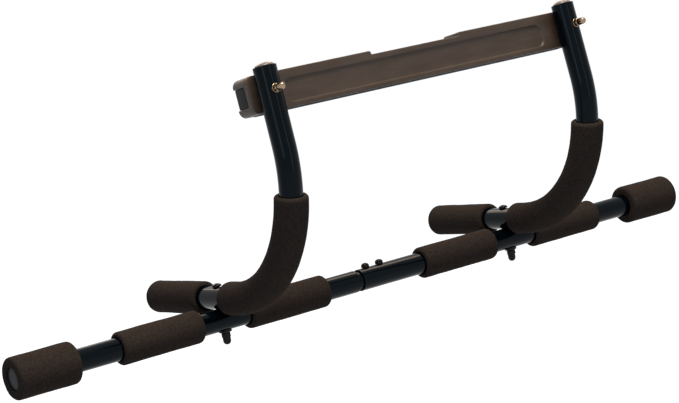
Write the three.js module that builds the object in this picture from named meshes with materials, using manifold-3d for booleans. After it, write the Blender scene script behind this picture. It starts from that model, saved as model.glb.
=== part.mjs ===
// Doorway pull up bar: a long bar with foam grips, two bent arms and a moulded crosspiece.
// Millimetres. X runs along the bar, +Y is the side the user hangs on, +Z is up.
// The origin is the middle of the crosspiece's underside, which rests on the door trim.
import * as THREE from 'three';
import { mergeVertices } from 'three/addons/utils/BufferGeometryUtils.js';
import Module from 'manifold-3d';

const wasm = await Module();
wasm.setup();
const { Manifold } = wasm;

// ---- Driving sizes ----------------------------------------------------------------------
const GAP = 0.3;                    // clearance between pieces that touch

const TUBE_OD = 25.4;
const TUBE_WALL = 1.8;
const BAR_LENGTH = 940;             // over the foam of both end grips
const BAR_END_RECESS = 5;           // from the end grip's face back to the steel
const JOINT_X = -22.5;              // middle of the gap between the two halves
const JOINT_GAP = 6;
const SLEEVE_LENGTH = 110;
const SLEEVE_OFFSET = 2;            // sleeve's middle, from the gap's middle
const SLEEVE_WALL = 1.8;

const FOAM_WALL = 5.5;
const END_FOAM_WALL = 10.3;
const FOAM_EDGE = 4;                // rounding of the foam's ends
const END_GRIP_LENGTH = 73;
const ARM_CLEARANCE = 31.5;         // from an arm's centre plane to the bar grips beside it
const OUTER_GRIP_SHARE = 0.65;      // of the bar between that clearance and the end grip
const INNER_GRIP_SHARE = 0.605;     // of the bar between that clearance and the bar's middle

const ARM_SPACING = 417;            // between the two arms' centre planes, at the bar
const ARM_TILT = 0.6;               // degrees that the two uprights lean together
const ARM_SEAT = 1.5;               // depth of the dent in which an arm sits on the bar
const HANDLE_REACH = 132;           // bar axis to the handle's foam end
const HANDLE_GRIP_LENGTH = 104;
const HANDLE_END_RECESS = 3;
const BEND_START = 38;              // from the bar axis to where the arm starts to bend
const BEND_RADIUS = 146;
const BEND_ANGLE = 97;              // degrees, from the handle's line to the upright
const UPRIGHT_LENGTH = 82.5;
const ARM_FOAM_START = 22;          // from the bar axis, along the arm
const ARM_FOAM_STOP = 53;           // from the end of the bend, back along the arm

const CROSS_LENGTH = 446;
const CROSS_HEIGHT = 40.5;
const CROSS_DEPTH = 28;
const CROSS_RISE = 36.3;            // from the end of the bend up to the crosspiece
const CROSS_STEP = 4;               // how much lower its middle is
const CROSS_LOW_LENGTH = 120;       // length of that lower stretch
const STEP_EDGE = 1.2;              // rounding where it steps down
const CROSS_CORNER = 8;
const CROSS_EDGE = 2.4;             // rounding of its long edges
const RECESS_LENGTH = 356;
const RECESS_HEIGHT = 26;
const RECESS_DEPTH = 2.2;
const RECESS_CORNER = 9.5;
const RECESS_RISE = 4.6;            // from the underside up to the recess
const CHANNEL_HEIGHT = 22;          // the channel along the back
const CHANNEL_WALL = 6;             // in front of the channel, the recess's depth included
const CHANNEL_RISE = 9;
const RAIL_THICKNESS = 3;
const RAIL_INSET = 0.5;             // from the crosspiece's end
const REAR_PAD_INSET = 2.4;         // from the crosspiece's back
const TRIM_PAD_THICKNESS = 2;
const TRIM_PAD_INSET = 5;
const TRIM_GROOVE_DEPTH = 1.5;      // the groove that holds that pad

const BOLT_D = 6;                   // the arm bolts and the joint's screws
const CROSS_BOLT_D = 5;             // the crosspiece's bolts
const HOLE_CLEARANCE = 0.3;         // all round a bolt
const BUTTON_D = 11;
const BUTTON_HEIGHT = 3.3;
const ARM_NUT = { bolt: BOLT_D, flats: 10, hexHeight: 5.5, dome: 9.2, height: 14 };
const CROSS_NUT = { bolt: CROSS_BOLT_D, flats: 8, hexHeight: 4.5, dome: 7.6, height: 14.5 };
const SADDLE_D = 15;                // washers between the bar and the nuts under it
const SMALL_SADDLE_D = 9.6;         // washers between the uprights and their nuts
const SADDLE_THICKNESS = 1.2;       // at its thinnest
const NUT_CROWN = 3;                // metal left over the bolt's end
const BOLT_STANDOUT = 2;            // of a bolt past the nut's hexagon
const SCREW_HEAD_D = 9.6;
const SCREW_HEAD_HEIGHT = 5.2;
const SCREW_SPACING = 20;
const SCREW_START = 15;             // first screw, from the gap's middle
const SCREW_DEPTH = 9;              // below the tube's surface
const CROSS_BOLT_RISE = 21.2;         // from the crosspiece's underside
const HEX_HEAD_FLATS = 8;
const HEX_HEAD_HEIGHT = 3.5;

const PLUG_FLANGE = 2;
const PLUG_DEPTH = 14;
const PLUG_WALL = 2;
const PLUG_EDGE = 0.6;              // rounding of its rim
const TOP_PLUG_DOME = 4;             // of the caps set into the uprights' tops
const END_PLUG_DOME = 0.8;

const ROUND = 20;                   // sides of a tube
const SMALL = 14;                   // sides of a bolt
const ARM_STEPS = 38;
const FOAM_STEPS = 14;

// ---- Worked-out sizes -------------------------------------------------------------------
const TUBE_R = TUBE_OD / 2;
const BORE_R = TUBE_R - TUBE_WALL;
const HALF_BAR = BAR_LENGTH / 2;
const STEEL_END = HALF_BAR - BAR_END_RECESS;
const ARM_X = ARM_SPACING / 2;
const TILT = THREE.MathUtils.degToRad(ARM_TILT);
const ARM_Z = TUBE_OD + GAP - ARM_SEAT;            // arm's axis above the bar's axis
const FOAM_IN = TUBE_R + GAP;
const FOAM_R = FOAM_IN + FOAM_WALL;
const BEND = THREE.MathUtils.degToRad(BEND_ANGLE);
const LEAN = BEND - Math.PI / 2;                   // the uprights lean this far towards +Y
const BEND_END_Y = -BEND_START - BEND_RADIUS * Math.sin(BEND);
const BEND_RISE = BEND_RADIUS * (1 - Math.cos(BEND));
const BOLT_ABOVE_BEND = CROSS_RISE + CROSS_BOLT_RISE;
const BOLT_X = ARM_X - Math.tan(TILT) * (BEND_RISE + BOLT_ABOVE_BEND * Math.cos(LEAN));
const FRONT = TUBE_R + GAP;                        // crosspiece's front, from the upright's axis
const BACK = FRONT + CROSS_DEPTH;
const CHANNEL_DEPTH = CROSS_DEPTH - CHANNEL_WALL;
const SADDLE_SEAT = TUBE_R + GAP + SADDLE_THICKNESS;

const holeRadius = (boltD) => boltD / 2 + HOLE_CLEARANCE;

// ---- Helpers ----------------------------------------------------------------------------
function solid(geometry) {
  const bare = geometry.clone();
  for (const name of Object.keys(bare.attributes)) {
    if (name !== 'position') bare.deleteAttribute(name);
  }
  const merged = mergeVertices(bare, 1e-4);
  const vertProperties = new Float32Array(merged.attributes.position.array);
  const triVerts = new Uint32Array(merged.index.array);
  return new Manifold(new wasm.Mesh({ numProp: 3, vertProperties, triVerts }));
}

function geometry(body) {
  const mesh = body.getMesh();
  const result = new THREE.BufferGeometry();
  result.setAttribute('position', new THREE.BufferAttribute(mesh.vertProperties, 3));
  result.setIndex(new THREE.BufferAttribute(mesh.triVerts, 1));
  result.computeVertexNormals();
  return result;
}

// A solid turned about Z from [radius, height] points.
function turned(points, sides = ROUND) {
  const profile = points.map(([r, z]) => new THREE.Vector2(r, z));
  return new THREE.LatheGeometry(profile, sides).rotateX(Math.PI / 2);
}

// Points of a quarter circle about [r, z], from one angle to another in degrees.
function arc(r, z, radius, from, to, steps = 4) {
  const points = [];
  for (let i = 0; i <= steps; i++) {
    const a = THREE.MathUtils.degToRad(from + ((to - from) * i) / steps);
    points.push([r + radius * Math.cos(a), z + radius * Math.sin(a)]);
  }
  return points;
}

// A straight pipe from z = 0 to its length.
function pipe(length, outer, inner) {
  return turned([[inner, 0], [outer, 0], [outer, length], [inner, length], [inner, 0]]);
}

// A foam sleeve from z = 0 to its length, with rounded ends.
function sleeve(length, outer, inner) {
  const e = Math.min(FOAM_EDGE, (outer - inner) * 0.7);
  return turned([
    [inner, 0],
    ...arc(outer - e, e, e, -90, 0),
    ...arc(outer - e, length - e, e, 0, 90),
    [inner, length],
    [inner, 0],
  ]);
}

// Points of a low dome, from its rim to its middle.
function crownPoints(radius, base, height) {
  const points = [];
  for (let i = 0; i <= 6; i++) {
    const a = (i / 6) * (Math.PI / 2);
    points.push([i === 6 ? 0 : radius * Math.cos(a), base + height * Math.sin(a)]);
  }
  return points;
}

// A hollow cap set into the tube's end at z = 0, so that only its low dome stands out.
function insetPlug(dome) {
  const skirt = BORE_R - GAP;
  const inside = skirt - PLUG_WALL;
  return turned([
    [0, -PLUG_FLANGE], [inside, -PLUG_FLANGE], [inside, -PLUG_DEPTH], [skirt, -PLUG_DEPTH],
    ...crownPoints(skirt, 0, dome),
  ]);
}

// A hollow tube plug whose flange sits on the tube's end at z = 0 and rises to a low dome.
function plug(dome) {
  const skirt = BORE_R - GAP;
  const inside = skirt - PLUG_WALL;
  const top = GAP + PLUG_FLANGE;
  return turned([
    [0, GAP], [inside, GAP], [inside, -PLUG_DEPTH], [skirt, -PLUG_DEPTH], [skirt, GAP],
    [TUBE_R, GAP], [TUBE_R, top - PLUG_EDGE], ...crownPoints(TUBE_R - PLUG_EDGE, top, dome),
  ]);
}

// A hexagonal prism from z = 0 up, given by its width across the flats.
function hexagon(flats, height) {
  return new THREE.CylinderGeometry(flats / Math.sqrt(3), flats / Math.sqrt(3), height, 6)
    .rotateX(Math.PI / 2).translate(0, 0, height / 2);
}

// A dome nut that stands on z = 0, with a blind hole for the bolt.
function domeNut(size) {
  const r = size.dome / 2;
  const hole = holeRadius(size.bolt);
  const start = size.hexHeight - 1;
  const dome = turned([[0, start], [r, start], ...crownPoints(r, size.height - r, r)], SMALL);
  const bore = Manifold.cylinder(size.height - NUT_CROWN, hole, hole, SMALL);
  return solid(hexagon(size.flats, size.hexHeight)).add(solid(dome))
    .subtract(bore.translate([0, 0, -1]));
}

// A bolt or screw with its shank from z = 0 down and a low round head above.
function roundHead(diameter, height, shank) {
  const r = diameter / 2;
  const head = [];
  for (let i = 0; i <= 6; i++) {
    const a = (i / 6) * (Math.PI / 2);
    head.push([i === 6 ? 0 : r * Math.cos(a) ** 0.8, height * (0.25 + 0.75 * Math.sin(a))]);
  }
  return turned([[0, -shank], [BOLT_D / 2, -shank], [BOLT_D / 2, 0], [r, 0], ...head], SMALL);
}

// A washer with a hollow top that hugs a tube lying along X above it; its flat side is at z = 0.
function saddle(thickness, diameter, boltD) {
  const tall = thickness + 4;
  const bore = holeRadius(boltD);
  const disc = Manifold.cylinder(tall, diameter / 2, diameter / 2, SMALL);
  const tube = Manifold.cylinder(80, FOAM_IN, FOAM_IN, 40, true).rotate([0, 90, 0]);
  const hole = Manifold.cylinder(40, bore, bore, SMALL, true);
  return disc.subtract(tube.translate([0, 0, FOAM_IN + thickness])).subtract(hole);
}

// The arm's centre line: handle, bend and upright, in the arm's own frame.
class ArmLine extends THREE.Curve {
  constructor(from, to) {
    super();
    this.from = from;
    this.to = to;
  }

  // Distance is measured from the point over the bar's axis, towards the upright.
  getPoint(t, target = new THREE.Vector3()) {
    const along = this.from + (this.to - this.from) * t;
    const bent = along - BEND_START;
    if (bent <= 0) return target.set(0, -along, 0);
    const angle = Math.min(bent / BEND_RADIUS, BEND);
    const past = Math.max(bent - BEND_RADIUS * BEND, 0);
    return target.set(
      0,
      -BEND_START - BEND_RADIUS * Math.sin(angle) + past * Math.sin(LEAN),
      BEND_RADIUS * (1 - Math.cos(angle)) + past * Math.cos(LEAN),
    );
  }
}

function ring(outer, inner) {
  const shape = new THREE.Shape().absarc(0, 0, outer, 0, Math.PI * 2, false);
  shape.holes.push(new THREE.Path().absarc(0, 0, inner, 0, Math.PI * 2, true));
  return shape;
}

function swept(line, outer, inner, steps) {
  return new THREE.ExtrudeGeometry(ring(outer, inner), {
    steps, extrudePath: line, curveSegments: ROUND / 2,
  });
}

// An outline of straight sides with rounded corners, from [x, y, radius] corners.
function rounded(corners) {
  const shape = new THREE.Shape();
  corners.forEach(([x, y, r], i) => {
    const [px, py] = corners[(i + corners.length - 1) % corners.length];
    const [nx, ny] = corners[(i + 1) % corners.length];
    const before = new THREE.Vector2(px - x, py - y).setLength(r);
    const after = new THREE.Vector2(nx - x, ny - y).setLength(r);
    if (i === 0) shape.moveTo(x + before.x, y + before.y);
    else shape.lineTo(x + before.x, y + before.y);
    shape.quadraticCurveTo(x, y, x + after.x, y + after.y);
  });
  shape.closePath();
  return shape;
}

function box(x0, x1, y0, y1, z0, z1) {
  return Manifold.cube([x1 - x0, y1 - y0, z1 - z0]).translate([x0, y0, z0]);
}

// ---- Materials --------------------------------------------------------------------------
const finishes = {
  tube_paint: { color: 0x14161a, roughness: 0.25, metalness: 0.3 },
  foam: { color: 0x2b2522, roughness: 0.95, metalness: 0 },
  plastic: { color: 0x5f5248, roughness: 0.55, metalness: 0 },
  plug_plastic: { color: 0x3a3836, roughness: 0.35, metalness: 0 },
  cap_plastic: { color: 0x6b5f56, roughness: 0.25, metalness: 0 },
  black_fastener: { color: 0x18181a, roughness: 0.3, metalness: 0.6 },
  bright_fastener: { color: 0xb09c80, roughness: 0.2, metalness: 1 },
  steel: { color: 0x8a8c8e, roughness: 0.4, metalness: 1 },
  rubber: { color: 0x1c1b1a, roughness: 0.9, metalness: 0 },
};

const group = new THREE.Group();
const frame = new THREE.Group();         // the bar's axis is its origin
const cross = new THREE.Group();         // the end of the bend is its origin, Z along the upright
group.add(frame);
frame.add(cross);
cross.position.set(0, BEND_END_Y, ARM_Z + BEND_RISE);
cross.rotation.x = -LEAN;
cross.updateMatrix();
const TRIM_PAD_TOP = CROSS_RISE + TRIM_GROOVE_DEPTH - GAP;
const rest = new THREE.Vector3(0, (FRONT + BACK) / 2, TRIM_PAD_TOP - TRIM_PAD_THICKNESS);
frame.position.copy(rest.applyMatrix4(cross.matrix)).negate();

function piece(parent, name, shape, finish) {
  const mesh = new THREE.Mesh(shape, new THREE.MeshStandardMaterial(finishes[finish]));
  mesh.name = name;
  parent.add(mesh);
  return mesh;
}

// ---- Long bar ---------------------------------------------------------------------------
const upDown = (x, length, radius = holeRadius(BOLT_D)) => Manifold
  .cylinder(length, radius, radius, SMALL, true).translate([x, 0, 0]);
const upperHole = (x) => upDown(x, TUBE_R * 2).translate([0, 0, TUBE_R]);
const alongX = (shape, x) => shape.rotateY(Math.PI / 2).translate(x, 0, 0);
const SCREWS = [
  ['left', JOINT_X + SCREW_START],
  ['right', JOINT_X + SCREW_START + SCREW_SPACING],
];

function barTubes() {
  const start = { left: -STEEL_END, right: JOINT_X + JOINT_GAP / 2 };
  const end = { left: JOINT_X - JOINT_GAP / 2, right: STEEL_END };
  for (const [name, side] of [['left', -1], ['right', 1]]) {
    const tube = alongX(pipe(end[name] - start[name], TUBE_R, BORE_R), start[name]);
    let body = solid(tube).subtract(upDown(side * ARM_X, TUBE_OD * 2));
    if (name === 'right') {
      for (const [, x] of SCREWS) body = body.subtract(upperHole(x));
    }
    piece(frame, `bar_tube_${name}`, geometry(body), 'tube_paint');
    const capping = plug(END_PLUG_DOME);
    if (side < 0) capping.rotateX(Math.PI);
    piece(frame, `bar_end_plug_${name}`, alongX(capping, side * STEEL_END), 'plug_plastic');
  }
}

function couplingSleeve() {
  const outer = BORE_R - GAP;
  const tube = alongX(pipe(SLEEVE_LENGTH, outer, outer - SLEEVE_WALL),
    JOINT_X + SLEEVE_OFFSET - SLEEVE_LENGTH / 2);
  let body = solid(tube);
  for (const [name, x] of SCREWS) {
    body = body.subtract(upperHole(x));
    const screw = roundHead(SCREW_HEAD_D, SCREW_HEAD_HEIGHT, SCREW_DEPTH);
    piece(frame, `joint_screw_${name}`, screw.translate(x, 0, TUBE_R + GAP), 'black_fastener');
  }
  piece(frame, 'coupling_sleeve', geometry(body), 'tube_paint');
}

function barGrips() {
  const endStart = HALF_BAR - END_GRIP_LENGTH;
  const outerStart = ARM_X + ARM_CLEARANCE;
  const innerStop = ARM_X - ARM_CLEARANCE;
  const innerLength = INNER_GRIP_SHARE * innerStop;
  const grips = [
    ['end_grip', endStart, END_GRIP_LENGTH, FOAM_IN + END_FOAM_WALL],
    ['outer_bar_grip', outerStart, OUTER_GRIP_SHARE * (endStart - outerStart), FOAM_R],
    ['inner_bar_grip', innerStop - innerLength, innerLength, FOAM_R],
  ];
  for (const [name, start, length, radius] of grips) {
    piece(frame, `${name}_left`, alongX(sleeve(length, radius, FOAM_IN), -start - length), 'foam');
    piece(frame, `${name}_right`, alongX(sleeve(length, radius, FOAM_IN), start), 'foam');
  }
}

// ---- Arms -------------------------------------------------------------------------------
// An arm's own frame has its origin on the arm's axis over the bar. It turns about the handle's line.
function arm(name, x) {
  const own = new THREE.Group();
  own.position.set(x, 0, ARM_Z);
  own.rotation.y = -Math.sign(x) * TILT;
  frame.add(own);

  const tubeEnd = HANDLE_REACH - HANDLE_END_RECESS;
  const bendEnd = BEND_START + BEND_RADIUS * BEND;
  const line = new ArmLine(-tubeEnd, bendEnd + UPRIGHT_LENGTH);
  const seat = Manifold.cylinder(TUBE_OD * 3, FOAM_IN, FOAM_IN, ROUND * 2, true).rotate([0, 90, 0])
    .translate([0, 0, -ARM_Z]);
  const crossHole = upDown(0, TUBE_OD * 2, holeRadius(CROSS_BOLT_D)).rotate([90, 0, 0])
    .translate([0, 0, BOLT_ABOVE_BEND])
    .rotate([-THREE.MathUtils.radToDeg(LEAN), 0, 0])
    .translate([0, BEND_END_Y, BEND_RISE]);
  const tube = solid(swept(line, TUBE_R, BORE_R, ARM_STEPS))
    .subtract(seat).subtract(upDown(0, TUBE_OD * 2)).subtract(crossHole);
  piece(own, `arm_tube_${name}`, geometry(tube), 'tube_paint');

  const bendLine = new ArmLine(ARM_FOAM_START, bendEnd - ARM_FOAM_STOP);
  piece(own, `arm_foam_${name}`, swept(bendLine, FOAM_R, FOAM_IN, FOAM_STEPS), 'foam');

  const alongY = (shape, y) => shape.rotateX(-Math.PI / 2).translate(0, y, 0);
  const grip = sleeve(HANDLE_GRIP_LENGTH, FOAM_R, FOAM_IN);
  piece(own, `handle_grip_${name}`, alongY(grip, HANDLE_REACH - HANDLE_GRIP_LENGTH), 'foam');
  piece(own, `handle_end_plug_${name}`, alongY(plug(END_PLUG_DOME), tubeEnd), 'plug_plastic');

  const topPlug = insetPlug(TOP_PLUG_DOME).translate(0, 0, UPRIGHT_LENGTH).rotateX(-LEAN)
    .translate(0, BEND_END_Y, BEND_RISE);
  piece(own, `arm_top_plug_${name}`, topPlug, 'cap_plastic');
}

// ---- Bolts that hold the arms on the bar --------------------------------------------------
function armBolt(name, x) {
  const top = ARM_Z + TUBE_R + GAP;
  const seat = -SADDLE_SEAT;
  const shank = top - seat + GAP + ARM_NUT.hexHeight + BOLT_STANDOUT;
  const bolt = roundHead(BUTTON_D, BUTTON_HEIGHT, shank);
  piece(frame, `arm_bolt_${name}`, bolt.translate(x, 0, top), 'black_fastener');
  const washer = saddle(SADDLE_THICKNESS, SADDLE_D, BOLT_D).translate([x, 0, seat]);
  piece(frame, `saddle_washer_${name}`, geometry(washer), 'black_fastener');
  const nut = domeNut(ARM_NUT).rotate([180, 0, 0]).translate([x, 0, seat - GAP]);
  piece(frame, `arm_nut_${name}`, geometry(nut), 'black_fastener');
}

// ---- Crosspiece -------------------------------------------------------------------------
const CROSS_TOP = CROSS_RISE + CROSS_HEIGHT;
const CHANNEL_BOTTOM = CROSS_RISE + CHANNEL_RISE;
const CHANNEL_FLOOR = BACK - CHANNEL_DEPTH;
const alongV = (x, z, radius, from, to) => Manifold.cylinder(to - from, radius, radius, SMALL)
  .rotate([-90, 0, 0]).translate([x, from, z]);

function crosspiece() {
  const half = CROSS_LENGTH / 2 - CROSS_EDGE;
  const low = CROSS_RISE + CROSS_EDGE;
  const high = CROSS_TOP - CROSS_EDGE;
  const outline = rounded([
    [-half, low, CROSS_CORNER], [half, low, CROSS_CORNER],
    [half, high, CROSS_CORNER],
    [CROSS_LOW_LENGTH / 2, high, STEP_EDGE],
    [CROSS_LOW_LENGTH / 2, high - CROSS_STEP, STEP_EDGE],
    [-CROSS_LOW_LENGTH / 2, high - CROSS_STEP, STEP_EDGE],
    [-CROSS_LOW_LENGTH / 2, high, STEP_EDGE],
    [-half, high, CROSS_CORNER],
  ]);
  const block = new THREE.ExtrudeGeometry(outline, {
    depth: CROSS_DEPTH - 2 * CROSS_EDGE, curveSegments: 6,
    bevelEnabled: true, bevelSize: CROSS_EDGE, bevelThickness: CROSS_EDGE, bevelSegments: 3,
  }).rotateX(Math.PI / 2).translate(0, BACK - CROSS_EDGE, 0);
  const side = RECESS_LENGTH / 2;
  const recessOutline = rounded([
    [-side, 0, RECESS_CORNER], [side, 0, RECESS_CORNER],
    [side, RECESS_HEIGHT, RECESS_CORNER], [-side, RECESS_HEIGHT, RECESS_CORNER],
  ]);
  const recess = new THREE.ExtrudeGeometry(recessOutline, {
    depth: FRONT, bevelEnabled: false, curveSegments: 8,
  }).rotateX(Math.PI / 2).translate(0, FRONT + RECESS_DEPTH, CROSS_RISE + RECESS_RISE);
  const channel = box(-CROSS_LENGTH, CROSS_LENGTH, CHANNEL_FLOOR, BACK * 2,
    CHANNEL_BOTTOM, CHANNEL_BOTTOM + CHANNEL_HEIGHT);
  const padHalf = CROSS_LENGTH / 2 - CROSS_CORNER - TRIM_PAD_INSET;
  const padDepth = CROSS_DEPTH - 2 * TRIM_PAD_INSET;
  const groove = box(-padHalf - GAP, padHalf + GAP, FRONT + TRIM_PAD_INSET - GAP,
    BACK - TRIM_PAD_INSET + GAP, 0, CROSS_RISE + TRIM_GROOVE_DEPTH);
  let body = solid(block).subtract(solid(recess)).subtract(channel).subtract(groove);
  const hole = holeRadius(CROSS_BOLT_D);
  for (const x of [-BOLT_X, BOLT_X]) body = body.subtract(alongV(x, BOLT_ABOVE_BEND, hole, 0, BACK));
  piece(cross, 'crosspiece', geometry(body), 'plastic');

  const railLength = CROSS_LENGTH - 2 * RAIL_INSET;
  const railFront = CHANNEL_FLOOR + GAP;
  let rail = box(-railLength / 2, railLength / 2, railFront, railFront + RAIL_THICKNESS,
    CHANNEL_BOTTOM + GAP, CHANNEL_BOTTOM + CHANNEL_HEIGHT - GAP);
  const padFront = railFront + RAIL_THICKNESS + GAP;
  let pad = box(-railLength / 2, railLength / 2, padFront, BACK - REAR_PAD_INSET,
    CHANNEL_BOTTOM + GAP, CHANNEL_BOTTOM + CHANNEL_HEIGHT - GAP);
  for (const x of [-BOLT_X, BOLT_X]) {
    rail = rail.subtract(alongV(x, BOLT_ABOVE_BEND, hole, 0, BACK));
    pad = pad.subtract(alongV(x, BOLT_ABOVE_BEND, HEX_HEAD_FLATS / Math.sqrt(3) + GAP, 0, BACK * 2));
  }
  piece(cross, 'crosspiece_rail', geometry(rail), 'tube_paint');
  piece(cross, 'rear_pad', geometry(pad), 'rubber');

  const trimPad = new THREE.BoxGeometry(2 * padHalf, padDepth, TRIM_PAD_THICKNESS)
    .translate(0, (FRONT + BACK) / 2, TRIM_PAD_TOP - TRIM_PAD_THICKNESS / 2);
  piece(cross, 'trim_pad', trimPad, 'rubber');
}

function crosspieceBolt(name, x) {
  const headSeat = CHANNEL_FLOOR + GAP + RAIL_THICKNESS + GAP;
  const nutSeat = -SADDLE_SEAT - GAP;
  const shankEnd = nutSeat - CROSS_NUT.hexHeight - BOLT_STANDOUT;
  const place = (body, v) => geometry(body.rotate([90, 0, 0]).translate([x, v, BOLT_ABOVE_BEND]));
  const shank = Manifold.cylinder(headSeat - shankEnd + 1, CROSS_BOLT_D / 2, CROSS_BOLT_D / 2, SMALL)
    .translate([0, 0, -1]);
  const head = hexagon(HEX_HEAD_FLATS, HEX_HEAD_HEIGHT).translate(0, 0, -HEX_HEAD_HEIGHT);
  const bolt = shank.add(solid(head));
  piece(cross, `crosspiece_bolt_${name}`, place(bolt, headSeat), 'steel');
  const curved = saddle(SADDLE_THICKNESS, SMALL_SADDLE_D, CROSS_BOLT_D)
    .rotate([0, 0, 90]).rotate([-90, 0, 0]);
  piece(cross, `crosspiece_washer_${name}`,
    geometry(curved.translate([x, -SADDLE_SEAT, BOLT_ABOVE_BEND])), 'bright_fastener');
  piece(cross, `crosspiece_nut_${name}`, place(domeNut(CROSS_NUT), nutSeat), 'bright_fastener');
}

barTubes();
couplingSleeve();
barGrips();
for (const [name, side] of [['left', -1], ['right', 1]]) {
  arm(name, side * ARM_X);
  armBolt(name, side * ARM_X);
  crosspieceBolt(name, side * BOLT_X);
}
crosspiece();

export default group;
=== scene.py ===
"""Doorway pull up bar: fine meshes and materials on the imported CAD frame. Metres, +Z up, X along the bar."""
import math

import bmesh
import bpy
from mathutils import Matrix, Vector, noise

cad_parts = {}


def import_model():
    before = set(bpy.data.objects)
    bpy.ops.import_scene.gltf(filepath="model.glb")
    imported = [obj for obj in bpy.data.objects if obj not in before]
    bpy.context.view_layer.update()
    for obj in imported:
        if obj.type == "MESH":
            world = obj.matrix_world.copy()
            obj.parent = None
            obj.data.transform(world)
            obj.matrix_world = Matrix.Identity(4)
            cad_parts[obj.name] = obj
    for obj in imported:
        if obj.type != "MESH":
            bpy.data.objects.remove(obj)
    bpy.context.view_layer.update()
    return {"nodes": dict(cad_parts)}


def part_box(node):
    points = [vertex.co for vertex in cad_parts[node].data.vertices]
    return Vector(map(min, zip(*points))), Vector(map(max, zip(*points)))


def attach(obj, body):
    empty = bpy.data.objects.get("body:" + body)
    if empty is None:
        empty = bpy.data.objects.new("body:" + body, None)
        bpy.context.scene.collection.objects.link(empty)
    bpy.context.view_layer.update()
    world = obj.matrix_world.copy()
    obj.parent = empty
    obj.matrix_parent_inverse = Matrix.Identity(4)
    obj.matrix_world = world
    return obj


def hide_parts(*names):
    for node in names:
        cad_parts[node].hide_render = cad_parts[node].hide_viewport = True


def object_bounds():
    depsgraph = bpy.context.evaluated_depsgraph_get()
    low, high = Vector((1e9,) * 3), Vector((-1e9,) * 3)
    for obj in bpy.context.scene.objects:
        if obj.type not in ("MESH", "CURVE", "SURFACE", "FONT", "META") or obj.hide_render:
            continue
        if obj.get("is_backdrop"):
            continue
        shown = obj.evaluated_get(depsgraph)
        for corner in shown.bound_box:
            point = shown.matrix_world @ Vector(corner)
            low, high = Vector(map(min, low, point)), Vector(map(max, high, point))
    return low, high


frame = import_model()

# ---- Sizes, as in the CAD ---------------------------------------------------------------
MM = 0.001
GAP = 0.3 * MM  # between pieces that touch
TUBE_R = 12.7 * MM
TUBE_WALL = 1.8 * MM
COUPLING_WALL = 1.8 * MM

FOAM_WALL = 5.5 * MM
END_FOAM_WALL = 10.3 * MM
FOAM_EDGE = 3.8 * MM
FOAM_LIP = 1 * MM

BEND_START = 38 * MM
BEND_RADIUS = 146 * MM
BEND = math.radians(97)
UPRIGHT_LENGTH = 82.5 * MM
ARM_TILT = math.radians(0.6)
ARM_SEAT = 1.5 * MM  # how far the arm's dent sinks over the bar
ARM_FOAM_START = 22 * MM
ARM_FOAM_STOP = 53 * MM
HANDLE_PAST_FOAM = 3 * MM

PLUG_WALL = 2 * MM
PLUG_DEPTH = 14 * MM
PLUG_FLANGE = 2 * MM
PLUG_DOME = 0.8 * MM
TOP_PLUG_DOME = 4 * MM

# bolt and dome are radii; hex and height are measured from the nut's base
ARM_NUT = dict(bolt=3 * MM, flats=10 * MM, hex=5.5 * MM, dome=4.6 * MM, height=14 * MM)
CROSS_NUT = dict(bolt=2.5 * MM, flats=8 * MM, hex=4.5 * MM, dome=3.8 * MM, height=14.5 * MM)
ARM_BOLT_HEAD = dict(radius=5.5 * MM, height=3.3 * MM)
JOINT_SCREW = dict(radius=4.8 * MM, height=5.2 * MM, shank=9 * MM)
SOCKET_R = 2.3 * MM
SOCKET_DEPTH = 1.9 * MM
ARM_SADDLE_R = 7.5 * MM
CROSS_SADDLE_R = 4.8 * MM
SADDLE_THICKNESS = 1.2 * MM
BOLT_CLEARANCE = 0.3 * MM

CROSS_RISE = 36.3 * MM
CROSS_LENGTH = 446 * MM
CROSS_HEIGHT = 40.5 * MM
CROSS_DEPTH = 28 * MM
CROSS_STEP = 4 * MM
CROSS_LOW_LENGTH = 120 * MM
CROSS_CORNER = 8 * MM
CROSS_EDGE = 2.4 * MM
CROSS_STEP_TOP = 2.5 * MM  # radii of the step down to the low middle
CROSS_STEP_FOOT = 1.2 * MM
CROSS_BOLT_RISE = 21.2 * MM
RECESS = dict(length=356 * MM, height=26 * MM, depth=2.2 * MM, corner=9.5 * MM, rise=4.6 * MM)
RECESS_DRAFT = 1.5 * MM  # slope of the recess's walls
CHANNEL = dict(height=22 * MM, depth=22 * MM, rise=9 * MM, corner=1.2 * MM)
CUT_EDGE = 0.4 * MM
CUT_PAST = 5 * MM  # how far a cutting shape reaches past the faces it opens
CUT_PAST_END = 9 * MM
RAIL_THICKNESS = 3 * MM
RAIL_INSET = 0.5 * MM
REAR_PAD_THICKNESS = 16 * MM
TRIM_GROOVE_DEPTH = 1.5 * MM
TRIM_PAD_INSET = 5 * MM
TRIM_PAD_THICKNESS = 2 * MM

FOAM_IN = TUBE_R + GAP
FOAM_R = FOAM_IN + FOAM_WALL
END_R = FOAM_IN + END_FOAM_WALL
BORE_R = TUBE_R - TUBE_WALL
SADDLE_SEAT = TUBE_R + GAP + SADDLE_THICKNESS
FRONT = TUBE_R + GAP  # the crosspiece's front face, from the uprights' axes
BACK = FRONT + CROSS_DEPTH
BEND_END = BEND_START + BEND_RADIUS * BEND

# Fineness of the meshes
FOAM_SIDES = 96
FOAM_STEP = 2.2 * MM
FOAM_BORE_STEP = 4 * MM
ARM_STEP = 4 * MM
TUBE_SIDES = 72
PLUG_SIDES = 64
HEAD_SIDES = 48
SADDLE_SIDES = 64
NUT_SIDES = 96

# A foam sleeve's uneven skin: noise of (scale, share), and the skin's height and mean level
SWELLS = ((28, 0.35), (110, 0.16), (420, 0.07))
SWELL_HEIGHT = 0.9
SWELL_MEAN = 0.12

X = Vector((1, 0, 0))
Y = Vector((0, 1, 0))
Z = Vector((0, 0, 1))


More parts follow.
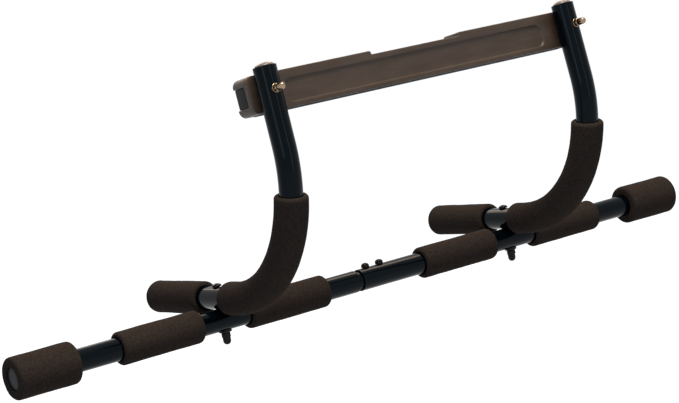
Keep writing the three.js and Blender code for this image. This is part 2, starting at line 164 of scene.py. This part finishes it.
def middle(node):
    """The middle of a CAD node's box."""
    low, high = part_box(node)
    return (low + high) / 2


BAR = middle("bar_tube_left")
BAR.x = 0
SIDES = {"left": middle("arm_tube_left").x, "right": middle("arm_tube_right").x}
ARM_RISE = 2 * TUBE_R + GAP - ARM_SEAT


# ---- Materials --------------------------------------------------------------------------
def material(name, colour, roughness, **sockets):
    """A principled material. A colour or roughness that a texture drives later is about the texture's
    middle value, for the export that bakes nothing."""
    m = bpy.data.materials.new(name)
    m.use_nodes = True
    shader = m.node_tree.nodes["Principled BSDF"]
    shader.inputs["Base Color"].default_value = (*colour, 1)
    shader.inputs["Roughness"].default_value = roughness
    for key, value in sockets.items():
        shader.inputs[key.replace("_", " ")].default_value = value
    return m


def drive(m, socket, output):
    """Links a node's output to a socket of the shader."""
    m.node_tree.links.new(output, m.node_tree.nodes["Principled BSDF"].inputs[socket])


def texture(m, kind, scale, stretch=None):
    """A procedural texture node on object coordinates, which are in metres."""
    tree = m.node_tree
    coords = tree.nodes.new("ShaderNodeTexCoord").outputs["Object"]
    if stretch:
        mapping = tree.nodes.new("ShaderNodeMapping")
        mapping.inputs["Scale"].default_value = stretch
        tree.links.new(coords, mapping.inputs["Vector"])
        coords = mapping.outputs["Vector"]
    node = tree.nodes.new(kind)
    node.inputs["Scale"].default_value = scale
    tree.links.new(coords, node.inputs["Vector"])
    return node


def noise_of(m, scale, detail, stretch=None):
    node = texture(m, "ShaderNodeTexNoise", scale, stretch)
    node.inputs["Detail"].default_value = detail
    return node.outputs["Fac"]


def cells_of(m, scale):
    return texture(m, "ShaderNodeTexVoronoi", scale).outputs["Distance"]


def ramp(m, source, first, last):
    """A colour that runs from first to last, each a (position, colour), as source rises."""
    tree = m.node_tree
    r = tree.nodes.new("ShaderNodeValToRGB")
    for element, (position, colour) in zip(r.color_ramp.elements, (first, last)):
        element.position = position
        element.color = (*colour, 1)
    tree.links.new(source, r.inputs["Fac"])
    return r.outputs["Color"]


def bump(m, source, strength, distance, after=None):
    """A bumped normal, on top of the normal in after."""
    tree = m.node_tree
    b = tree.nodes.new("ShaderNodeBump")
    b.inputs["Strength"].default_value = strength
    b.inputs["Distance"].default_value = distance
    tree.links.new(source, b.inputs["Height"])
    if after:
        tree.links.new(after, b.inputs["Normal"])
    return b.outputs["Normal"]


def grey(v):
    return (v, v, v)


def tube_paint():
    # Painted reflection: the blue cast of the base colour and of the specular tint stands in for bluish
    # surroundings mirrored by the black gloss paint.
    m = material("gloss_black_paint", (0.0008, 0.0025, 0.0045), 0.12, Specular_IOR_Level=0.09,
                 Specular_Tint=(0.72, 0.9, 1, 1))
    drive(m, "Normal", bump(m, noise_of(m, 420, 2), 0.03, 0.2 * MM))
    drive(m, "Roughness", ramp(m, noise_of(m, 60, 5), (0.35, grey(0.08)), (0.7, grey(0.16))))
    return m


def foam():
    m = material("closed_cell_foam", (0.036, 0.03, 0.026), 0.9, Specular_IOR_Level=0.02)
    dark, pale = (0.023, 0.0188, 0.017), (0.048, 0.038, 0.032)
    drive(m, "Base Color", ramp(m, noise_of(m, 420, 6), (0.25, dark), (0.75, pale)))
    pores = bump(m, cells_of(m, 900), 0.5, 0.35 * MM)
    drive(m, "Normal", bump(m, noise_of(m, 420, 6), 0.55, 0.5 * MM, pores))
    return m


def moulded_plastic():
    m = material("grained_brown_plastic", (0.063, 0.045, 0.034), 0.42, Specular_IOR_Level=0.27)
    dark, pale = (0.05, 0.0345, 0.025), (0.077, 0.056, 0.042)
    drive(m, "Base Color", ramp(m, noise_of(m, 45, 6, stretch=(0.5, 1, 2)), (0.3, dark), (0.7, pale)))
    drive(m, "Roughness", ramp(m, noise_of(m, 160, 4), (0.3, grey(0.34)), (0.7, grey(0.5))))
    drive(m, "Normal", bump(m, noise_of(m, 620, 5), 0.35, 0.3 * MM))
    return m


def plug_plastic():
    m = material("black_plug_plastic", (0.005, 0.0065, 0.01), 0.45, Specular_IOR_Level=0.1)
    drive(m, "Normal", bump(m, noise_of(m, 700, 3), 0.12, 0.15 * MM))
    return m


def cap_plastic():
    # Painted sheen: the cap's pale brown colour stands in for the overhead lamp's reflection on its top.
    m = material("cap_plastic_painted_sheen", (0.15, 0.12, 0.1), 0.22, Specular_IOR_Level=0.5)
    drive(m, "Normal", bump(m, noise_of(m, 500, 3), 0.1, 0.15 * MM))
    return m


def metal(name, colour, roughness, scale=300, stretch=None):
    m = material(name, colour, roughness, Metallic=1.0)
    smooth, rough = grey(roughness - 0.06), grey(roughness + 0.06)
    drive(m, "Roughness", ramp(m, noise_of(m, scale, 4, stretch=stretch), (0.3, smooth), (0.7, rough)))
    drive(m, "Normal", bump(m, noise_of(m, scale * 2, 2, stretch=stretch), 0.05, 0.1 * MM))
    return m


def rubber():
    m = material("black_rubber", (0.016, 0.015, 0.015), 0.75, Specular_IOR_Level=0.3)
    drive(m, "Normal", bump(m, noise_of(m, 500, 5), 0.4, 0.3 * MM))
    return m


MATERIALS = {
    "tube_paint": tube_paint(),
    "foam": foam(),
    "plastic": moulded_plastic(),
    "plug_plastic": plug_plastic(),
    "cap_plastic": cap_plastic(),
    "black_fastener": metal("black_oxide", (0.012, 0.0105, 0.0105), 0.2),
    # Painted reflection: the dark warm-brown tone of these bright nuts stands in for the warm, dim
    # surroundings that their plating mirrors.
    "bright_fastener": metal("nut_plating_painted_warm_reflection", (0.26, 0.19, 0.125), 0.16),
    "steel": metal("zinc_steel", (0.5, 0.49, 0.47), 0.34, scale=90, stretch=(1, 12, 12)),
    "rubber": rubber(),
}


# ---- Making pieces ----------------------------------------------------------------------
def paint(obj, slot):
    obj.data.materials.clear()
    obj.data.materials.append(MATERIALS[slot])


def dress(obj, slot, node):
    """Gives a finished piece the material of its slot, puts it in the root body and hides the CAD node it
    stands for.
    """
    paint(obj, slot)
    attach(obj, "root")
    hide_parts(node)


def finish_mesh(name, bm, sharp=35):
    """An object of bm, smooth but for edges sharper than sharp degrees."""
    bmesh.ops.recalc_face_normals(bm, faces=bm.faces)
    mesh = bpy.data.meshes.new(name)
    bm.to_mesh(mesh)
    bm.free()
    mesh.shade_smooth()
    mesh.set_sharp_from_angle(angle=math.radians(sharp))
    obj = bpy.data.objects.new(name, mesh)
    bpy.context.scene.collection.objects.link(obj)
    return obj


def straight(origin, direction, up):
    """A straight path. A path gives, at a length s, its point and the two directions across it."""
    d = Vector(direction).normalized()
    u = Vector(up).normalized()
    w = d.cross(u)
    return lambda s: (Vector(origin) + d * s, u, w)


def arm_path(x):
    """The arm's centre line: s is measured from over the bar's axis, towards the upright.
    The two uprights lean a little together, each arm turned about its handle's line."""
    turn = Matrix.Rotation(-math.copysign(ARM_TILT, x) if x else 0, 3, "Y")

    def at(s):
        bent = s - BEND_START
        a = min(max(bent / BEND_RADIUS, 0), BEND)
        past = bent if bent < 0 else max(bent - BEND_RADIUS * BEND, 0)
        y = -BEND_START - BEND_RADIUS * math.sin(a) - past * math.cos(a)
        z = BEND_RADIUS * (1 - math.cos(a)) + past * math.sin(a)
        across = turn @ Vector((0, math.sin(a), math.cos(a)))
        return BAR + Vector((x, 0, ARM_RISE)) + turn @ Vector((0, y, z)), turn @ X, across
    return at


def ringed(name, path, profile, sides, outline=None, sharp=35):
    """A closed surface of rings along a path. profile is a list of (s, radius); one that starts and
    ends at radius 0 is capped, and any other is joined end to end, as a sleeve is. outline gives the
    reach at an angle of a ring that isn't round."""
    bm = bmesh.new()
    capped = profile[0][1] == 0
    rings = []
    for s, r in profile:
        centre, u, w = path(s)
        if r == 0:
            rings.append([bm.verts.new(centre)])
            continue
        ring = []
        for i in range(sides):
            t = 2 * math.pi * i / sides
            reach = outline(t, r) if outline else r
            ring.append(bm.verts.new(centre + (u * math.cos(t) + w * math.sin(t)) * reach))
        rings.append(ring)
    pairs = list(zip(rings, rings[1:])) + ([] if capped else [(rings[-1], rings[0])])
    for a, b in pairs:
        for i in range(sides):
            j = (i + 1) % sides
            corners = [a[i % len(a)], a[j % len(a)], b[j % len(b)], b[i % len(b)]]
            bm.faces.new(list(dict.fromkeys(corners)))
    return finish_mesh(name, bm, sharp)


def quarter(s, r, radius, start, stop, steps=6):
    """Points of an arc about (s, r); 0 degrees points along s and 90 away from the axis."""
    points = []
    for i in range(steps + 1):
        a = math.radians(start + (stop - start) * i / steps)
        points.append((s + radius * math.cos(a), r + radius * math.sin(a)))
    return points


def spread(start, stop, step):
    """Even stops from start to stop, about step apart."""
    n = max(1, round(abs(stop - start) / step))
    return [start + (stop - start) * i / n for i in range(n + 1)]


def pipe(name, path, start, stop, outer, inner, step=math.inf):
    """A tube with eased edges, in rings about step apart."""
    edge = 0.3 * MM
    run = spread(start + edge, stop - edge, step)
    profile = [(s, outer) for s in run] + [(stop, outer - edge), (stop, inner + edge)]
    profile += [(s, inner) for s in run[::-1]] + [(start, inner + edge), (start, outer - edge)]
    return ringed(name, path, profile, TUBE_SIDES)


def foam_sleeve(node, path, start, stop, outer, seed):
    """Foam with rounded ends and the slight unevenness of a cut and pushed-on sleeve. Each sleeve has a
    seed of its own, so that no two are alike."""
    edge, lip, inner = FOAM_EDGE, FOAM_LIP, FOAM_IN
    profile = quarter(start + edge, outer - edge, edge, 180, 90)[:-1]
    profile += [(s, outer) for s in spread(start + edge, stop - edge, FOAM_STEP)]
    profile += quarter(stop - edge, outer - edge, edge, 90, 0)[1:]
    skin_rings = len(profile) + 1
    profile += quarter(stop - lip, inner + lip, lip, 0, -90, 3)
    profile += [(s, inner) for s in spread(stop - lip, start + lip, FOAM_BORE_STEP)[1:-1]]
    profile += quarter(start + lip, inner + lip, lip, 270, 180, 3)
    obj = ringed(node + "_foam_piece", path, profile, FOAM_SIDES, sharp=60)
    shift = Vector((seed * 0.37, seed * 0.11, seed * 0.23))
    normals = [v.normal.copy() for v in obj.data.vertices]
    for v, n in list(zip(obj.data.vertices, normals))[:FOAM_SIDES * skin_rings]:
        wave = sum(noise.noise(v.co * scale + shift) * share for scale, share in SWELLS)
        v.co += n * (wave - SWELL_MEAN) * MM * SWELL_HEIGHT
    dress(obj, "foam", node)


def bevelled(obj, width, segments, angle):
    """Rounds the edges sharper than angle degrees."""
    m = obj.modifiers.new("bevel", "BEVEL")
    m.width = width
    m.segments = segments
    m.limit_method = "ANGLE"
    m.angle_limit = math.radians(angle)
    apply_modifiers(obj)


def apply_modifiers(obj):
    """Bakes an object's modifiers into its mesh."""
    bpy.context.view_layer.update()
    graph = bpy.context.evaluated_depsgraph_get()
    mesh = bpy.data.meshes.new_from_object(obj.evaluated_get(graph))
    obj.modifiers.clear()
    obj.data = mesh


# ---- Long bar ---------------------------------------------------------------------------
ALONG_BAR = straight(BAR, X, Y)


def bar():
    for side, turn in (("left", -1), ("right", 1)):
        low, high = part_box(f"bar_tube_{side}")
        tube = pipe(f"bar_tube_{side}_fine", ALONG_BAR, low.x, high.x, TUBE_R, BORE_R)
        dress(tube, "tube_paint", f"bar_tube_{side}")
        end = high.x if turn > 0 else low.x
        plug(f"bar_end_plug_{side}", straight(BAR + X * end, X * turn, Y))
        for kind, outer in (("end_grip", END_R), ("outer_bar_grip", FOAM_R), ("inner_bar_grip", FOAM_R)):
            node = f"{kind}_{side}"
            low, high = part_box(node)
            foam_sleeve(node, ALONG_BAR, low.x, high.x, outer, low.x * 31)
    low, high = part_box("coupling_sleeve")
    outer = BORE_R - GAP
    sleeve = pipe("coupling_sleeve_fine", ALONG_BAR, low.x, high.x, outer, outer - COUPLING_WALL)
    dress(sleeve, "tube_paint", "coupling_sleeve")
    for side in ("left", "right"):
        node = f"joint_screw_{side}"
        place = middle(node)
        path = straight(Vector((place.x, BAR.y, BAR.z + TUBE_R + GAP)), Z, X)
        dress(round_head(node + "_fine", path, **JOINT_SCREW), "black_fastener", node)


def dome(s, r, height, steps, fullness=1.0):
    """Points of a dome from its rim at (s, r) to its top. A lower fullness has squarer shoulders."""
    turns = [math.radians(90 * i / steps) for i in range(steps)]
    return [(s + height * math.sin(a), r * math.cos(a) ** fullness) for a in turns] + [(s + height, 0)]


def plug(node, path):
    """A tube plug: skirt inside the tube, flange on its end, and a low dome."""
    skirt = BORE_R - GAP
    inside = skirt - PLUG_WALL
    rim = TUBE_R - 0.1 * MM
    flange = GAP + PLUG_FLANGE
    hollow = GAP + 0.6 * MM
    profile = [(hollow, 0), (hollow, inside), (-PLUG_DEPTH, inside), (-PLUG_DEPTH, skirt), (GAP, skirt)]
    profile += [(GAP, rim - 0.4 * MM), (GAP + 0.4 * MM, rim), (flange - 0.5 * MM, rim)]
    profile += dome(flange, rim - 0.25 * MM, PLUG_DOME, 12, 0.85)
    dress(ringed(node + "_fine", path, profile, PLUG_SIDES), "plug_plastic", node)


def inset_plug(node, path):
    """A hollow cap set into a tube's end, of which only the low dome stands out."""
    skirt = BORE_R - GAP
    inside = skirt - PLUG_WALL
    profile = [(-PLUG_WALL, 0), (-PLUG_WALL, inside), (-PLUG_DEPTH, inside), (-PLUG_DEPTH, skirt)]
    profile += dome(0, skirt, TOP_PLUG_DOME, 15)
    dress(ringed(node + "_fine", path, profile, PLUG_SIDES), "cap_plastic", node)


def round_head(name, path, radius, height, shank, socket=False):
    """A bolt with its head on s = 0 and its shank behind it. The arms' bolts and the joint's screws
    have the same shank."""
    bolt = ARM_NUT["bolt"]
    profile = [(-shank, 0), (-shank, bolt - 0.4 * MM), (-shank + 0.4 * MM, bolt), (0, bolt)]
    profile += [(0, radius - 0.25 * MM), (0.25 * MM, radius)]
    head = dome(height * 0.25, radius, height * 0.75, 12, 0.8)
    if socket:
        head = [(s, r) for s, r in head if r >= SOCKET_R + 0.1 * MM]
        head += [(height, SOCKET_R), (height - 0.3 * MM, SOCKET_R - 0.2 * MM)]
        head += [(height - SOCKET_DEPTH + 0.1 * MM, SOCKET_R - 0.3 * MM), (height - SOCKET_DEPTH, 0)]
    return ringed(name, path, profile + head, HEAD_SIDES)


def hex_outline(flats):
    """The reach of a hexagon whose corners are cut round. Rings well inside its flats stay round."""
    def reach(t, r):
        if r < flats / 2 * 0.98:
            return r
        local = (t % (math.pi / 3)) - math.pi / 6
        return min(flats / 2 / math.cos(local), r)
    return reach


def dome_nut(name, path, size):
    """A dome nut that stands on s = 0."""
    corner = size["flats"] / math.sqrt(3)
    flat = size["flats"] / 2
    base, neck, height = size["hex"], size["dome"], size["height"]
    hole = size["bolt"] + BOLT_CLEARANCE
    profile = [(0.6 * MM, 0), (0.6 * MM, hole), (0, hole + 0.3 * MM), (0, flat * 0.99)]
    profile += [(0.45 * MM, corner), (base - 0.6 * MM, corner), (base, flat * 0.99)]
    profile += [(base, neck * 0.97), (base + 0.3 * MM, neck)]
    profile += quarter(height - neck, 0, neck, 90, 0, 10)[:-1] + [(height, 0)]
    return ringed(name, path, profile, NUT_SIDES, hex_outline(size["flats"]), sharp=28)


def saddle(name, origin, away, along, outer, bolt):
    """A washer with a hollow face that hugs a tube. origin is on the tube's axis, away points from the
    tube to the washer and along lies on the tube's axis."""
    away, along = Vector(away).normalized(), Vector(along).normalized()
    across = away.cross(along)
    radii = [bolt + BOLT_CLEARANCE, (bolt + outer) / 2, outer - 0.3 * MM, outer]
    bm = bmesh.new()
    near, far = [], []
    for r in radii:
        ease = 0.25 * MM if r == outer else 0
        tops, bottoms = [], []
        for i in range(SADDLE_SIDES):
            t = 2 * math.pi * i / SADDLE_SIDES
            a, b = r * math.cos(t), r * math.sin(t)
            lift = math.sqrt(FOAM_IN ** 2 - b ** 2)
            spot = Vector(origin) + along * a + across * b
            tops.append(bm.verts.new(spot + away * (lift + ease)))
            bottoms.append(bm.verts.new(spot + away * (SADDLE_SEAT - ease)))
        near.append(tops)
        far.append(bottoms)
    loops = near + far[::-1]
    for p, q in zip(loops, loops[1:] + loops[:1]):
        for i in range(SADDLE_SIDES):
            j = (i + 1) % SADDLE_SIDES
            bm.faces.new([p[i], p[j], q[j], q[i]])
    return finish_mesh(name, bm)


# ---- Arms -------------------------------------------------------------------------------
def arms():
    for number, (side, x) in enumerate(SIDES.items()):
        path = arm_path(x)
        low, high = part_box(f"handle_grip_{side}")
        start, stop = BAR.y - high.y + HANDLE_PAST_FOAM, BEND_END + UPRIGHT_LENGTH
        tube = pipe(f"arm_tube_{side}_fine", path, start, stop, TUBE_R, BORE_R, ARM_STEP)
        dress(tube, "tube_paint", f"arm_tube_{side}")
        foam_sleeve(f"arm_foam_{side}", path, ARM_FOAM_START, BEND_END - ARM_FOAM_STOP, FOAM_R, 5 + number)
        foam_sleeve(f"handle_grip_{side}", path, BAR.y - high.y, BAR.y - low.y, FOAM_R, 8 + number)
        plug(f"handle_end_plug_{side}", straight(BAR + Vector((x, -start, ARM_RISE)), Y, X))
        top, beside, out = path(stop)
        inset_plug(f"arm_top_plug_{side}", straight(top, beside.cross(out), beside))
        arm_bolt(side, x)
        cross_bolt(side)


def arm_bolt(side, x):
    top = ARM_RISE + TUBE_R + GAP
    base = BAR + X * x
    shank = top + SADDLE_SEAT + GAP + ARM_NUT["hex"]
    bolt = round_head(f"arm_bolt_{side}_fine", straight(base + Z * top, Z, X), **ARM_BOLT_HEAD,
                      shank=shank, socket=True)
    dress(bolt, "black_fastener", f"arm_bolt_{side}")
    washer = saddle(f"saddle_washer_{side}_fine", base, -Z, X, ARM_SADDLE_R, ARM_NUT["bolt"])
    dress(washer, "black_fastener", f"saddle_washer_{side}")
    nut = dome_nut(f"arm_nut_{side}_fine", straight(base - Z * (SADDLE_SEAT + GAP), -Z, X), ARM_NUT)
    dress(nut, "black_fastener", f"arm_nut_{side}")


# ---- Crosspiece -------------------------------------------------------------------------
# Its own frame: X along it, v away from the uprights and z along them, from the end of the bend.
END_OF_BEND, _, V = arm_path(0)(BEND_END)
UP = X.cross(V)
TO_ROW = Matrix((X, V, UP)).transposed().to_4x4()
TO_ROW.translation = END_OF_BEND


def prism(name, outline, v0, v1, far_outline=None):
    """An extrusion of an [x, z] outline from v0 to v1, in the crosspiece's own frame. It is straight,
    unless the far end has an outline of its own."""
    bm = bmesh.new()
    ends = ((v0, outline), (v1, far_outline or outline))
    loops = [[bm.verts.new((x, v, z)) for x, z in points] for v, points in ends]
    bm.faces.new(loops[0][::-1])
    bm.faces.new(loops[1])
    n = len(outline)
    for i in range(n):
        j = (i + 1) % n
        bm.faces.new([loops[0][i], loops[0][j], loops[1][j], loops[1][i]])
    return finish_mesh(name, bm)


def rounded(corners, steps=8):
    """An outline of straight sides with round corners, from (x, z, radius)."""
    points = []
    n = len(corners)
    for i, (x, z, r) in enumerate(corners):
        here = Vector((x, z))
        before = (Vector(corners[i - 1][:2]) - here).normalized()
        after = (Vector(corners[(i + 1) % n][:2]) - here).normalized()
        centre = here + (before + after) * r
        for k in range(steps + 1):
            a = math.pi / 2 * k / steps
            points.append(tuple(centre - after * r * math.cos(a) - before * r * math.sin(a)))
    return points


def box_outline(half, low, high, corner, steps=3):
    """A rectangle with round corners."""
    return rounded([(-half, low, corner), (half, low, corner), (half, high, corner), (-half, high, corner)],
                   steps)


def cut(obj, cutter):
    """Takes cutter's shape out of obj, and removes cutter."""
    m = obj.modifiers.new("cut", "BOOLEAN")
    m.operation = "DIFFERENCE"
    m.solver = "EXACT"
    m.object = cutter
    apply_modifiers(obj)
    bpy.data.objects.remove(cutter)


def set_in_row(obj, slot, node):
    """Shades a piece made in the crosspiece's own frame, moves it to its place and dresses it."""
    obj.data.shade_smooth()
    obj.data.set_sharp_from_angle(angle=math.radians(50))
    obj.data.transform(TO_ROW)
    dress(obj, slot, node)


def recess_outline(wider):
    """The recess's outline, grown all round."""
    side, corner = RECESS["length"] / 2 + wider, RECESS["corner"] + wider
    low = CROSS_RISE + RECESS["rise"] - wider
    high = CROSS_RISE + RECESS["rise"] + RECESS["height"] + wider
    return box_outline(side, low, high, corner, 12)


def crosspiece():
    half, low, high = CROSS_LENGTH / 2, CROSS_RISE, CROSS_RISE + CROSS_HEIGHT
    dip = high - CROSS_STEP
    step = CROSS_LOW_LENGTH / 2
    outline = rounded([
        (-half, low, CROSS_CORNER), (half, low, CROSS_CORNER), (half, high, CROSS_CORNER),
        (step, high, CROSS_STEP_TOP), (step, dip, CROSS_STEP_FOOT),
        (-step, dip, CROSS_STEP_FOOT), (-step, high, CROSS_STEP_TOP), (-half, high, CROSS_CORNER)])
    body = prism("crosspiece_fine", outline, FRONT, BACK)
    bevelled(body, CROSS_EDGE, 5, 60)
    depth = RECESS["depth"]
    cut(body, prism("recess_tool", recess_outline(RECESS_DRAFT), FRONT - depth, FRONT + depth,
                    recess_outline(-RECESS_DRAFT)))
    z0 = CROSS_RISE + CHANNEL["rise"]
    z1 = z0 + CHANNEL["height"]
    cut(body, prism("channel_tool", box_outline(half + CUT_PAST_END, z0, z1, CHANNEL["corner"]),
                    BACK - CHANNEL["depth"], BACK + CUT_PAST))
    groove = half - CROSS_CORNER - TRIM_PAD_INSET + GAP
    groove_low, groove_high = low - CUT_PAST, low + TRIM_GROOVE_DEPTH
    cut(body, prism("groove_tool", [
        (-groove, groove_low), (groove, groove_low), (groove, groove_high), (-groove, groove_high)],
        FRONT + TRIM_PAD_INSET - GAP, BACK - TRIM_PAD_INSET + GAP))
    bevelled(body, CUT_EDGE, 3, 38)
    set_in_row(body, "plastic", "crosspiece")
    strip("rear_pad", BACK - CHANNEL["depth"] + RAIL_THICKNESS + 2 * GAP, REAR_PAD_THICKNESS,
          z0 + GAP, z1 - GAP, CROSS_LENGTH - 2 * RAIL_INSET)
    pad_top = CROSS_RISE + TRIM_GROOVE_DEPTH - GAP
    strip("trim_pad", FRONT + TRIM_PAD_INSET, CROSS_DEPTH - 2 * TRIM_PAD_INSET,
          pad_top - TRIM_PAD_THICKNESS, pad_top, CROSS_LENGTH - 2 * (CROSS_CORNER + TRIM_PAD_INSET))


def strip(node, v0, depth, z0, z1, length):
    """A rubber strip with rounded edges."""
    obj = prism(node + "_fine", box_outline(length / 2, z0, z1, 0.7 * MM), v0, v0 + depth)
    bevelled(obj, 0.5 * MM, 2, 50)
    set_in_row(obj, "rubber", node)


def cross_bolt(side):
    x = middle(f"crosspiece_nut_{side}").x
    at = TO_ROW @ Vector((x, 0, CROSS_RISE + CROSS_BOLT_RISE))
    washer = saddle(f"crosspiece_washer_{side}_fine", at, -V, UP, CROSS_SADDLE_R, CROSS_NUT["bolt"])
    dress(washer, "bright_fastener", f"crosspiece_washer_{side}")
    nut = dome_nut(f"crosspiece_nut_{side}_fine", straight(at - V * (SADDLE_SEAT + GAP), -V, X), CROSS_NUT)
    dress(nut, "bright_fastener", f"crosspiece_nut_{side}")


def kept_nodes():
    """The CAD's own shapes that stay, with a material."""
    paint(frame["nodes"]["crosspiece_bolt_left"], "steel")
    paint(frame["nodes"]["crosspiece_bolt_right"], "steel")
    paint(frame["nodes"]["crosspiece_rail"], "tube_paint")


# ---- Stage ------------------------------------------------------------------------------
FLOOR_REACH = 14
FLOOR_DROP = 0.3


def where_seen(tree):
    """1 for camera, glossy and transmission rays, and 0 for the light that falls on the object."""
    rays = tree.nodes.new("ShaderNodeLightPath").outputs
    seen = rays["Is Camera Ray"]
    for kind in ("Is Glossy Ray", "Is Transmission Ray"):
        most = tree.nodes.new("ShaderNodeMath")
        most.operation = "MAXIMUM"
        tree.links.new(seen, most.inputs[0])
        tree.links.new(rays[kind], most.inputs[1])
        seen = most.outputs[0]
    return seen


def world():
    """A dim bluish light, which is seen as white."""
    w = bpy.data.worlds.new("studio")
    bpy.context.scene.world = w
    w.use_nodes = True
    tree = w.node_tree
    plain = tree.nodes["Background"]
    plain.inputs["Color"].default_value = (0.55, 0.72, 1, 1)
    plain.inputs["Strength"].default_value = 0.18
    white = tree.nodes.new("ShaderNodeBackground")
    white.inputs["Color"].default_value = (1, 1, 1, 1)
    white.inputs["Strength"].default_value = 1
    mix = tree.nodes.new("ShaderNodeMixShader")
    tree.links.new(where_seen(tree), mix.inputs["Fac"])
    tree.links.new(plain.outputs[0], mix.inputs[1])
    tree.links.new(white.outputs[0], mix.inputs[2])
    tree.links.new(mix.outputs[0], tree.nodes["World Output"].inputs["Surface"])


def floor():
    """A wide pale floor under the hanging bar, which keeps the soft shadow and is clear from below."""
    bm = bmesh.new()
    bmesh.ops.create_grid(bm, x_segments=1, y_segments=1, size=FLOOR_REACH)
    obj = finish_mesh("floor", bm)
    obj.location.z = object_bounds()[0].z - FLOOR_DROP
    m = bpy.data.materials.new("pale_floor")
    m.use_nodes = True
    tree = m.node_tree
    shader = tree.nodes["Principled BSDF"]
    shader.inputs["Base Color"].default_value = (0.38, 0.42, 0.48, 1)
    shader.inputs["Roughness"].default_value = 0.9
    shader.inputs["Emission Color"].default_value = (1, 1, 1, 1)
    level = tree.nodes.new("ShaderNodeMath")
    level.operation = "MULTIPLY"
    level.inputs[1].default_value = 0.9
    tree.links.new(where_seen(tree), level.inputs[0])
    tree.links.new(level.outputs[0], shader.inputs["Emission Strength"])
    clear = tree.nodes.new("ShaderNodeBsdfTransparent")
    side = tree.nodes.new("ShaderNodeNewGeometry")
    mix = tree.nodes.new("ShaderNodeMixShader")
    tree.links.new(side.outputs["Backfacing"], mix.inputs["Fac"])
    tree.links.new(shader.outputs[0], mix.inputs[1])
    tree.links.new(clear.outputs[0], mix.inputs[2])
    tree.links.new(mix.outputs[0], tree.nodes["Material Output"].inputs["Surface"])
    obj.data.materials.append(m)
    obj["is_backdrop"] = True


def lamp(name, place, aim, size, power, colour):
    """A rectangular lamp at place that points at aim. power is in watts."""
    data = bpy.data.lights.new(name, "AREA")
    data.shape = "RECTANGLE"
    data.size, data.size_y = size
    data.energy = power
    data.color = colour
    obj = bpy.data.objects.new(name, data)
    obj.location = place
    obj.rotation_euler = (Vector(aim) - Vector(place)).to_track_quat("-Z", "Y").to_euler()
    bpy.context.scene.collection.objects.link(obj)


def lamps():
    lamp("key", (-0.1, -0.75, 2.4), (0, 0, -0.05), (1.4, 1.0), 80, (1, 0.84, 0.67))
    lamp("over_bar", (1.35, 0.75, 1.7), (0, 0.15, -0.2), (1.4, 0.35), 12, (1, 0.74, 0.54))
    lamp("behind", (0.45, 2.1, 1.2), (0, 0.1, -0.2), (1.0, 0.5), 6, (1, 0.8, 0.62))
    lamp("strip", (0.4, -2.8, 0.2), (0, 0, -0.05), (0.16, 1.8), 5, (0.9, 0.93, 1))
    lamp("fill", (-2.2, -1.4, 0.5), (0, 0, -0.1), (0.6, 1.2), 6, (0.8, 0.88, 1))


def camera():
    """The photograph's camera, from its turn, drop and roll, and its place from the bar's middle."""
    turn, drop, roll = math.radians(34.262), math.radians(5.749), math.radians(10.564)
    distance, across, above = 2.4914, -0.03803, 0.08689
    sensor, focal_length, frame_width = 36, 2156.7, 679
    d = Vector((math.sin(turn) * math.cos(drop), math.cos(turn) * math.cos(drop), -math.sin(drop)))
    r = Vector((math.cos(turn), -math.sin(turn), 0))
    u = r.cross(d)
    right = r * math.cos(roll) - u * math.sin(roll)
    up = r * math.sin(roll) + u * math.cos(roll)
    data = bpy.data.cameras.new("camera")
    data.sensor_width = sensor
    data.lens = sensor * focal_length / frame_width
    data.clip_end = 60
    obj = bpy.data.objects.new("camera", data)
    place = Matrix((right, up, -d)).transposed().to_4x4()
    place.translation = BAR + right * across + up * above - d * distance
    obj.matrix_world = place
    bpy.context.scene.collection.objects.link(obj)
    bpy.context.scene.camera = obj


bar()
arms()
crosspiece()
kept_nodes()
world()
floor()
lamps()
camera()
bpy.context.scene.view_settings.view_transform = "Standard"

bpy.context.view_layer.update()
